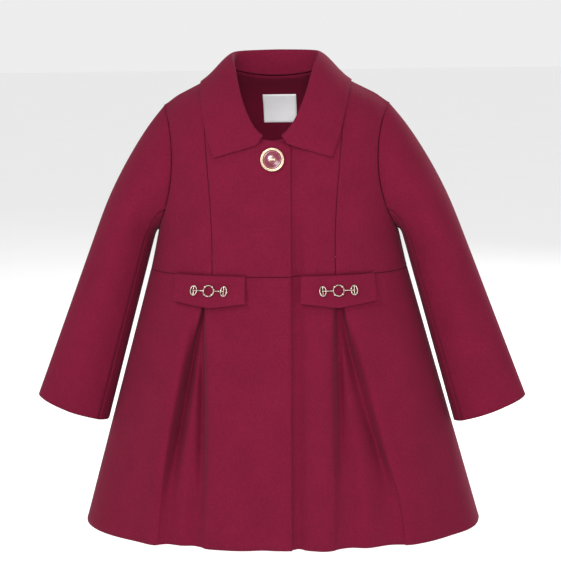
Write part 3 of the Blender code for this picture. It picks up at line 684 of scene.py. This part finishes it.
class PathRow:
    """A row of small rounded grains along a path, such as beads or stitches."""

    def __init__(self, name: str, material: bpy.types.Material) -> None:
        """Build the row's node tree.

        Args:
            name: Name of the tree.
            material: Finish of the grains.
        """
        self.tree = bpy.data.node_groups.new(name, "GeometryNodeTree")
        self.sockets = {}
        face = self.tree.interface
        face.new_socket("Path", in_out="INPUT", socket_type="NodeSocketGeometry")
        for label, value in (("Spacing", 0.001), ("Grain width", 0.001), ("Grain length", 0.001)):
            socket = face.new_socket(label, in_out="INPUT", socket_type="NodeSocketFloat")
            socket.default_value = value
            self.sockets[label] = socket.identifier
        face.new_socket("Row", in_out="OUTPUT", socket_type="NodeSocketGeometry")
        self.build(material)

    def build(self, material: bpy.types.Material) -> None:
        """Wire the tree.

        Args:
            material: Finish of the grains.
        """
        nodes, links = self.tree.nodes, self.tree.links
        start = nodes.new("NodeGroupInput")
        curve = nodes.new("GeometryNodeMeshToCurve")
        spread = nodes.new("GeometryNodeCurveToPoints")
        spread.mode = "LENGTH"
        grain = nodes.new("GeometryNodeMeshUVSphere")
        grain.inputs["Segments"].default_value = 8
        grain.inputs["Rings"].default_value = 6
        grain.inputs["Radius"].default_value = 0.5
        size = nodes.new("ShaderNodeCombineXYZ")
        place = nodes.new("GeometryNodeInstanceOnPoints")
        real = nodes.new("GeometryNodeRealizeInstances")
        finish = nodes.new("GeometryNodeSetMaterial")
        finish.inputs["Material"].default_value = material
        end = nodes.new("NodeGroupOutput")
        links.new(start.outputs["Path"], curve.inputs["Mesh"])
        links.new(curve.outputs["Curve"], spread.inputs["Curve"])
        links.new(start.outputs["Spacing"], spread.inputs["Length"])
        links.new(start.outputs["Grain width"], size.inputs["X"])
        links.new(start.outputs["Grain width"], size.inputs["Y"])
        links.new(start.outputs["Grain length"], size.inputs["Z"])
        links.new(spread.outputs["Points"], place.inputs["Points"])
        links.new(grain.outputs["Mesh"], place.inputs["Instance"])
        links.new(spread.outputs["Rotation"], place.inputs["Rotation"])
        links.new(size.outputs["Vector"], place.inputs["Scale"])
        links.new(place.outputs["Instances"], real.inputs["Geometry"])
        links.new(real.outputs["Geometry"], finish.inputs["Geometry"])
        links.new(finish.outputs["Geometry"], end.inputs["Row"])

    def lay(self, name: str, points: list, closed: bool, spacing: float, width: float,
            length: float) -> bpy.types.Mesh:
        """Lay a row along a path.

        Args:
            name: Name for the mesh.
            points: Path in millimetres.
            closed: Whether the path meets itself.
            spacing: Millimetres between grains.
            width: Width of a grain in millimetres.
            length: Length of a grain in millimetres.

        Returns:
            The row as a plain mesh.
        """
        count = len(points)
        pairs = [(i, (i + 1) % count) for i in range(count if closed else count - 1)]
        path = bpy.data.meshes.new(name + "_path")
        path.from_pydata([tuple(np.array(p) * MM) for p in points], pairs, [])
        holder = bpy.data.objects.new(name + "_path", path)
        bpy.context.scene.collection.objects.link(holder)
        row = holder.modifiers.new("row", "NODES")
        row.node_group = self.tree
        row[self.sockets["Spacing"]] = spacing * MM
        row[self.sockets["Grain width"]] = width * MM
        row[self.sockets["Grain length"]] = length * MM
        mesh = finished_mesh(holder, name)
        bpy.data.objects.remove(holder, do_unlink=True)
        return mesh


def tube(points: list, radius: float, closed: bool, sides: int = 8) -> tuple:
    """Sweep a round wire along a path.

    Args:
        points: Path in millimetres.
        radius: Radius of the wire.
        closed: Whether the path meets itself.
        sides: Points round the wire.

    Returns:
        The wire's points and faces.
    """
    path = np.array(points, float)
    count = len(path)
    ahead = np.roll(path, -1, axis=0)
    behind = np.roll(path, 1, axis=0)
    if not closed:
        ahead[-1], behind[0] = path[-1], path[0]
    run = ahead - behind
    run /= np.linalg.norm(run, axis=1)[:, None]
    plane = np.linalg.svd(path - path.mean(axis=0), full_matrices=False)[2][2]
    rings = []
    for centre, line in zip(path, run):
        side = np.cross(line, plane)
        side /= np.linalg.norm(side)
        lift = np.cross(side, line)
        for k in range(sides):
            turn = 2 * math.pi * k / sides
            rings.append(centre + radius * (side * math.cos(turn) + lift * math.sin(turn)))
    faces = []
    for i in range(count if closed else count - 1):
        j = (i + 1) % count
        for k in range(sides):
            m = (k + 1) % sides
            faces.append((i * sides + k, i * sides + m, j * sides + m, j * sides + k))
    if not closed:
        faces.append(tuple(range(sides))[::-1])
        faces.append(tuple((count - 1) * sides + k for k in range(sides)))
    return rings, faces


def solid_mesh(name: str, parts: list) -> bpy.types.Mesh:
    """Join point and face lists into one mesh with its faces outward.

    Args:
        name: Name for the mesh.
        parts: Pairs of points in millimetres and faces.

    Returns:
        The mesh.
    """
    points, faces = [], []
    for part_points, part_faces in parts:
        base = len(points)
        points += [tuple(np.array(p) * MM) for p in part_points]
        faces += [tuple(base + i for i in face) for face in part_faces]
    mesh = bpy.data.meshes.new(name)
    mesh.from_pydata(points, [], faces)
    shape = bmesh.new()
    shape.from_mesh(mesh)
    bmesh.ops.recalc_face_normals(shape, faces=shape.faces)
    shape.to_mesh(mesh)
    shape.free()
    return mesh


def join_meshes(name: str, meshes: list) -> bpy.types.Mesh:
    """Join meshes into one.

    Args:
        name: Name for the mesh.
        meshes: The meshes.

    Returns:
        The joined mesh.
    """
    joined = bmesh.new()
    for mesh in meshes:
        joined.from_mesh(mesh)
    made = bpy.data.meshes.new(name)
    joined.to_mesh(made)
    joined.free()
    return made


def oval(seat: Seat, centre: float, wide: float, tall: float, out: float,
         steps: int = 40) -> list:
    """Points of an oval on a seat.

    Args:
        seat: Where the fitting lies.
        centre: Middle of the oval across the seat.
        wide: Half width.
        tall: Half height.
        out: Height over the seat's middle.
        steps: Number of points.

    Returns:
        The points in millimetres.
    """
    turns = [2 * math.pi * k / steps for k in range(steps)]
    return [seat.at(centre + wide * math.cos(t), tall * math.sin(t), out) for t in turns]


@dataclass
class Trim:
    """Metal ring with a link on each side, on a pocket flap. Lengths in millimetres."""

    hand: str
    ring_radius: float = 6.2
    wire: float = 0.8
    bead: float = 1.6
    stud: float = 3.0
    end_offset: float = 18.0
    end_wide: float = 3.6
    end_tall: float = 5.4

    def build(self, beads: PathRow, material: bpy.types.Material) -> bpy.types.Object:
        """Make the trim.

        Args:
            beads: Tree that lays beads.
            material: Finish of the metal.

        Returns:
            The finished object.
        """
        name = "trim_" + self.hand + "_detail"
        seat = Seat("trim_" + self.hand)
        wires = [tube(oval(seat, 0.0, self.ring_radius, self.ring_radius, 0.0), self.wire, True)]
        rows = [beads.lay(name + "_ring", oval(seat, 0.0, self.ring_radius, self.ring_radius, 0.35),
                          True, self.bead * 1.08, self.bead, self.bead * 1.2)]
        for quarter in range(4):
            turn = math.pi / 4 + quarter * math.pi / 2
            x, z = self.ring_radius * math.cos(turn), self.ring_radius * math.sin(turn)
            ends = [seat.at(x - 0.05, z, 0.3), seat.at(x + 0.05, z, 0.3)]
            rows.append(beads.lay(name + "_stud", ends, False, 1.0, self.stud, self.stud))
        for end in (-1, 1):
            middle = end * self.end_offset
            loop = oval(seat, middle, self.end_wide, self.end_tall, 0.0)
            wires.append(tube(loop, self.wire * 0.85, True))
            inner = end * (self.ring_radius - 0.4)
            bar = [seat.at(inner + (middle - inner) * k / 8, 0.0, 0.1 + 0.5 * math.sin(
                math.pi * k / 8)) for k in range(9)]
            wires.append(tube(bar, self.wire * 0.8, False))
            post = [seat.at(middle, self.end_tall * (k / 4 - 1), 0.25) for k in range(9)]
            wires.append(tube(post, self.wire * 0.72, False))
            rows.append(beads.lay(name + "_bar", bar, False, self.bead * 1.1, self.bead,
                                  self.bead))
            tips = [seat.at(middle - 0.05, 0.0, 0.5), seat.at(middle + 0.05, 0.0, 0.5)]
            rows.append(beads.lay(name + "_knot", tips, False, 1.0, self.stud * 0.8,
                                  self.stud * 0.8))
        mesh = join_meshes(name, [solid_mesh(name + "_wire", wires)] + rows)
        made = dress(mesh, name, material, 60.0)
        claim(made, ("trim_" + self.hand,))
        return made


@dataclass
class NeckButton:
    """Dished button in a metal ring, sewn on with gilt thread. Lengths in millimetres."""

    face_radius: float = 11.0
    rim_radius: float = 12.5
    rim_wire: float = 0.85
    dish: float = 1.1
    steps: int = 48
    strand_half: float = 3.0
    strand_gap: float = 0.55
    thread_width: float = 0.62
    thread_grain: float = 0.8
    thread_step: float = 0.32

    def disc(self, seat: Seat) -> tuple:
        """Turn the dished disc about its middle.

        Args:
            seat: Where the button lies.

        Returns:
            The disc's points and faces.
        """
        radius = self.face_radius
        profile = ((0.0, 1.7 - self.dish), (radius * 0.3, 1.75 - self.dish),
                   (radius * 0.62, 2.0 - self.dish * 0.9), (radius * 0.78, 1.9),
                   (radius * 0.86, 2.0), (radius * 0.95, 1.7), (radius * 1.04, 0.8),
                   (radius * 1.02, -1.2), (radius * 0.9, -1.75), (0.0, -1.8))
        points, faces = [], []
        for reach, out in profile:
            if reach == 0.0:
                points.append(seat.at(0.0, 0.0, out))
                continue
            for k in range(self.steps):
                turn = 2 * math.pi * k / self.steps
                points.append(seat.at(reach * math.cos(turn), reach * math.sin(turn), out))
        last = len(points) - 1
        for k in range(self.steps):
            m = (k + 1) % self.steps
            faces.append((0, 1 + k, 1 + m))
            for ring in range(len(profile) - 3):
                a = 1 + ring * self.steps
                b = a + self.steps
                faces.append((a + k, b + k, b + m, a + m))
            edge = 1 + (len(profile) - 3) * self.steps
            faces.append((edge + k, last, edge + m))
        return points, faces

    def build(self, threads: PathRow, face: bpy.types.Material, metal: bpy.types.Material,
              thread: bpy.types.Material) -> None:
        """Make the button, its ring and its thread.

        Args:
            threads: Tree that lays strands of thread.
            face: Finish of the disc.
            metal: Finish of the ring.
            thread: Finish of the thread.
        """
        seat = Seat("button")
        disc = dress(solid_mesh("button_disc", [self.disc(seat)]), "button_disc", face, 50.0)
        claim(disc, ("button",))
        ring = oval(seat, 0.0, self.rim_radius, self.rim_radius, 0.3, 64)
        inner = oval(seat, 0.0, self.rim_radius - 1.3, self.rim_radius - 1.3, 1.15, 64)
        wires = [tube(ring, self.rim_wire, True, 10), tube(inner, 0.45, True, 6)]
        rim = dress(solid_mesh("button_ring", wires), "button_ring", metal, 60.0)
        claim(rim, ("button_rim",))
        rows = []
        half = self.strand_half
        strands = [[seat.at(half * (k / 6 - 1), lift + 0.12 * math.sin(k),
                            0.75 + 0.75 * math.sin(math.pi * k / 12)) for k in range(13)]
                   for lift in (-self.strand_gap, 0.0, self.strand_gap)]
        strands += [[seat.at(end * half, half * (k / 8 - 0.5), 0.85) for k in range(9)]
                    for end in (-1, 1)]
        for strand in strands:
            rows.append(threads.lay("button_strand", strand, False, self.thread_step,
                                    self.thread_width, self.thread_grain))
        sewn = dress(join_meshes("button_thread", rows), "button_thread", thread, 60.0)
        claim(sewn, ())


@dataclass
class NeckLabel:
    """Bare woven label, sewn to the neck on its two sides. Lengths in millimetres."""

    inset: float = 1.6
    stitch: float = 2.2
    stitch_share: float = 0.72
    thread_width: float = 0.4
    end_margin: float = 1.2
    steps: int = 24
    search: float = 3.0

    def build(self, threads: PathRow, ribbon: bpy.types.Material,
              thread: bpy.types.Material) -> None:
        """Make the label and its stitches.

        Args:
            threads: Tree that lays stitches.
            ribbon: Finish of the label.
            thread: Finish of the stitches.
        """
        maker = ClothMaker()
        maker.edge_roll, maker.edge_shoulder = 0.12, 0.03
        piece = CutPiece("label", (0.041, 0.038), 0.00150, Hold.LAID, ("bodice_back_cloth",))
        label = maker.make(piece, ribbon)
        points = mesh_points(label.data)
        low, high = points.min(axis=0), points.max(axis=0)
        rows = []
        for side in (low[0] + self.inset, high[0] - self.inset):
            line = []
            for step in range(self.steps + 1):
                run = high[2] - low[2] - 2 * self.end_margin
                height = low[2] + self.end_margin + run * step / self.steps
                gap = np.hypot(points[:, 0] - side, points[:, 2] - height)
                near = points[gap < self.search]
                line.append((side, near[:, 1].min() - 0.05, height))
            rows.append(threads.lay("label_stitch", line, False, self.stitch,
                                    self.thread_width, self.stitch * self.stitch_share))
        sewn = dress(join_meshes("label_stitches", rows), "label_stitches", thread, 60.0)
        claim(label, ("label",))
        claim(sewn, ())


def claim(piece: bpy.types.Object, nodes: tuple) -> None:
    """Tie a finished piece to the frame.

    Args:
        piece: The piece.
        nodes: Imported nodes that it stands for.
    """
    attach(piece, CARRIER)
    if nodes:
        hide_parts(*nodes)
    LOG.info("made %s: %d faces", piece.name, len(piece.data.polygons))


FRONT_CENTRES = ("bodice_front_centre_R_cloth", "bodice_front_centre_L_cloth")
PIECES = (
    CutPiece("bodice_front_centre_R", (0.108, 0.25), 0.0178, Hold.HUNG, (), BODY_CREASES),
    CutPiece("bodice_front_centre_L", (0.108, 0.25), 0.0178, Hold.HUNG, (), BODY_CREASES),
    CutPiece("bodice_front_side_R", (0.105, 0.235), 0.0164, Hold.HUNG, (), BODY_CREASES),
    CutPiece("bodice_front_side_L", (0.105, 0.235), 0.0164, Hold.HUNG, (), BODY_CREASES),
    CutPiece("bodice_back", (0.36, 0.26), 0.070, Hold.HUNG, (), BODY_CREASES),
    CutPiece("skirt_front_R", (0.43, 0.32), 0.086, Hold.HUNG, (), BODY_CREASES),
    CutPiece("skirt_front_L", (0.43, 0.32), 0.086, Hold.HUNG, (), BODY_CREASES),
    CutPiece("skirt_back", (0.75, 0.32), 0.147, Hold.HUNG, (), BODY_CREASES),
    CutPiece("sleeve_upper_R", (0.22, 0.385), 0.066, Hold.HUNG, (), RIGHT_SLEEVE_CREASES, -6.0),
    CutPiece("sleeve_under_R", (0.075, 0.27), 0.0131, Hold.HUNG, (), RIGHT_SLEEVE_CREASES, -6.0),
    CutPiece("sleeve_upper_L", (0.22, 0.385), 0.066, Hold.HUNG, (), SLEEVE_CREASES, -6.0),
    CutPiece("sleeve_under_L", (0.075, 0.27), 0.0131, Hold.HUNG, (), SLEEVE_CREASES, -6.0),
    CutPiece("collar", (0.46, 0.11), 0.0325, Hold.FOLDED,
             ("bodice_back_cloth",) + FRONT_CENTRES),
    CutPiece("flap_R", (0.084, 0.038), 0.0030, Hold.LAID, ("skirt_front_R_cloth",)),
    CutPiece("flap_L", (0.084, 0.038), 0.0030, Hold.LAID, ("skirt_front_L_cloth",)),
)


class CoatCloth:
    """All the wool pieces of the coat."""

    def __init__(self, wool: bpy.types.Material) -> None:
        """Keep the finish."""
        self.wool = wool
        self.made = {}

    def build(self) -> None:
        """Make each cut piece."""
        maker = ClothMaker()
        for piece in PIECES:
            self.made[piece.node] = maker.make(piece, self.wool)
            claim(self.made[piece.node], (piece.node,))

    def declare(self, fittings: dict) -> None:
        """Look up the fittings sewn on each piece; nothing is stated or kept.

        Args:
            fittings: Lists of fittings, by the node that carries them.
        """
        for piece in PIECES:
            fittings.get(piece.node, [])


@dataclass
class Studio:
    """Pale floor, soft lights and the camera."""

    camera_side: float = 4.0
    camera_far: float = 1.8
    camera_height: float = 0.040
    camera_tilt: float = 9.6
    camera_roll: float = -0.8
    camera_shift: float = 0.00175
    focal: float = 99.14
    floor_z: float = -0.720
    floor_reach: float = 30.0

    def floor(self) -> None:
        """Lay a wide pale floor under the coat."""
        reach = self.floor_reach
        points = [(-reach, -reach, self.floor_z), (reach, -reach, self.floor_z),
                  (reach, reach, self.floor_z), (-reach, reach, self.floor_z)]
        faces = [(0, 1, 2, 3)]
        mesh = bpy.data.meshes.new("studio_floor")
        mesh.from_pydata(points, [], faces)
        shader = Shader("studio_paper", (0.95, 0.95, 0.95), 0.9)
        tone = shader.ramp(shader.noise(3.0, 2.0), [(0.3, (0.945, 0.945, 0.945)),
                                                    (0.7, (0.955, 0.955, 0.955))])
        shader.link(tone, shader.surface.inputs["Base Color"])
        dress(mesh, "studio_floor", shader.material, 60.0)

    def light(self, name: str, place: tuple, size: float, power: float) -> None:
        """Hang a soft light that faces the coat.

        Args:
            name: Name of the light.
            place: Where it hangs, in metres.
            size: Width of its panel in metres.
            power: Power in watts.
        """
        data = bpy.data.lights.new(name, "AREA")
        data.size = size
        data.energy = power
        lamp = bpy.data.objects.new(name, data)
        lamp.location = place
        aim = Vector((0.0, 0.0, -0.25)) - Vector(place)
        lamp.rotation_euler = aim.to_track_quat("-Z", "Y").to_euler()
        bpy.context.scene.collection.objects.link(lamp)

    def camera(self) -> None:
        """Set the camera at the photograph's place."""
        side = math.radians(self.camera_side)
        data = bpy.data.cameras.new("camera")
        data.sensor_fit = "HORIZONTAL"
        data.sensor_width = 36.0
        data.lens = self.focal
        data.clip_end = 50.0
        eye = bpy.data.objects.new("camera", data)
        right = Vector((math.cos(side), math.sin(side), 0.0))
        place = Vector((math.sin(side), -math.cos(side), 0.0)) * self.camera_far
        place += right * self.camera_shift + Vector((0.0, 0.0, self.camera_height))
        turn = Matrix.Rotation(side, 4, "Z") @ Matrix.Rotation(
            math.radians(90.0 - self.camera_tilt), 4, "X")
        turn = turn @ Matrix.Rotation(math.radians(self.camera_roll), 4, "Z")
        eye.matrix_world = Matrix.Translation(place) @ turn
        bpy.context.scene.collection.objects.link(eye)
        bpy.context.scene.camera = eye

    def build(self) -> None:
        """Set up the studio."""
        self.floor()
        self.light("key", (-1.00, -1.9, 1.35), 0.8, 22.0)
        self.light("front", (0.20, -2.4, 0.42), 0.6, 36.0)
        self.light("back", (1.1, 2.1, 1.3), 0.8, 52.0)
        world = bpy.data.worlds.new("studio_air")
        world.use_nodes = True
        sky = world.node_tree.nodes["Background"]
        sky.inputs["Color"].default_value = (1.0, 1.0, 1.0, 1.0)
        sky.inputs["Strength"].default_value = 0.85
        bpy.context.scene.world = world
        self.camera()


def main() -> None:
    """Build the coat and its studio."""
    logging.basicConfig(level=logging.INFO, format="%(message)s")
    bpy.context.scene.view_settings.view_transform = "Standard"
    wool = WoolFinish("raspberry_wool").make()
    silver = MetalFinish("antique_silver", (0.62, 0.56, 0.46), (0.17, 0.14, 0.11), 0.30).make()
    champagne = MetalFinish("champagne_metal", (0.66, 0.55, 0.40), (0.40, 0.31, 0.20),
                            0.32).make()
    plastic = GlossFinish("raspberry_gloss").make()
    ribbon = SatinFinish("white_ribbon", (0.90, 0.90, 0.91), (0.80, 0.80, 0.82), 420.0).make()
    gilt = SatinFinish("gilt_thread", (0.80, 0.66, 0.45), (0.62, 0.48, 0.30), 900.0, 0.45).make()
    cotton = SatinFinish("white_thread", (0.84, 0.84, 0.85), (0.70, 0.70, 0.73), 900.0).make()
    cloth = CoatCloth(wool)
    cloth.build()
    beads = PathRow("bead_row", silver)
    trims = {"flap_" + hand: [Trim(hand).build(beads, silver)] for hand in ("R", "L")}
    NeckButton().build(PathRow("gilt_row", gilt), plastic, champagne, gilt)
    NeckLabel().build(PathRow("stitch_row", cotton), ribbon, cotton)
    cloth.declare(trims)
    Studio().build()


if __name__ == "__main__":
    main()
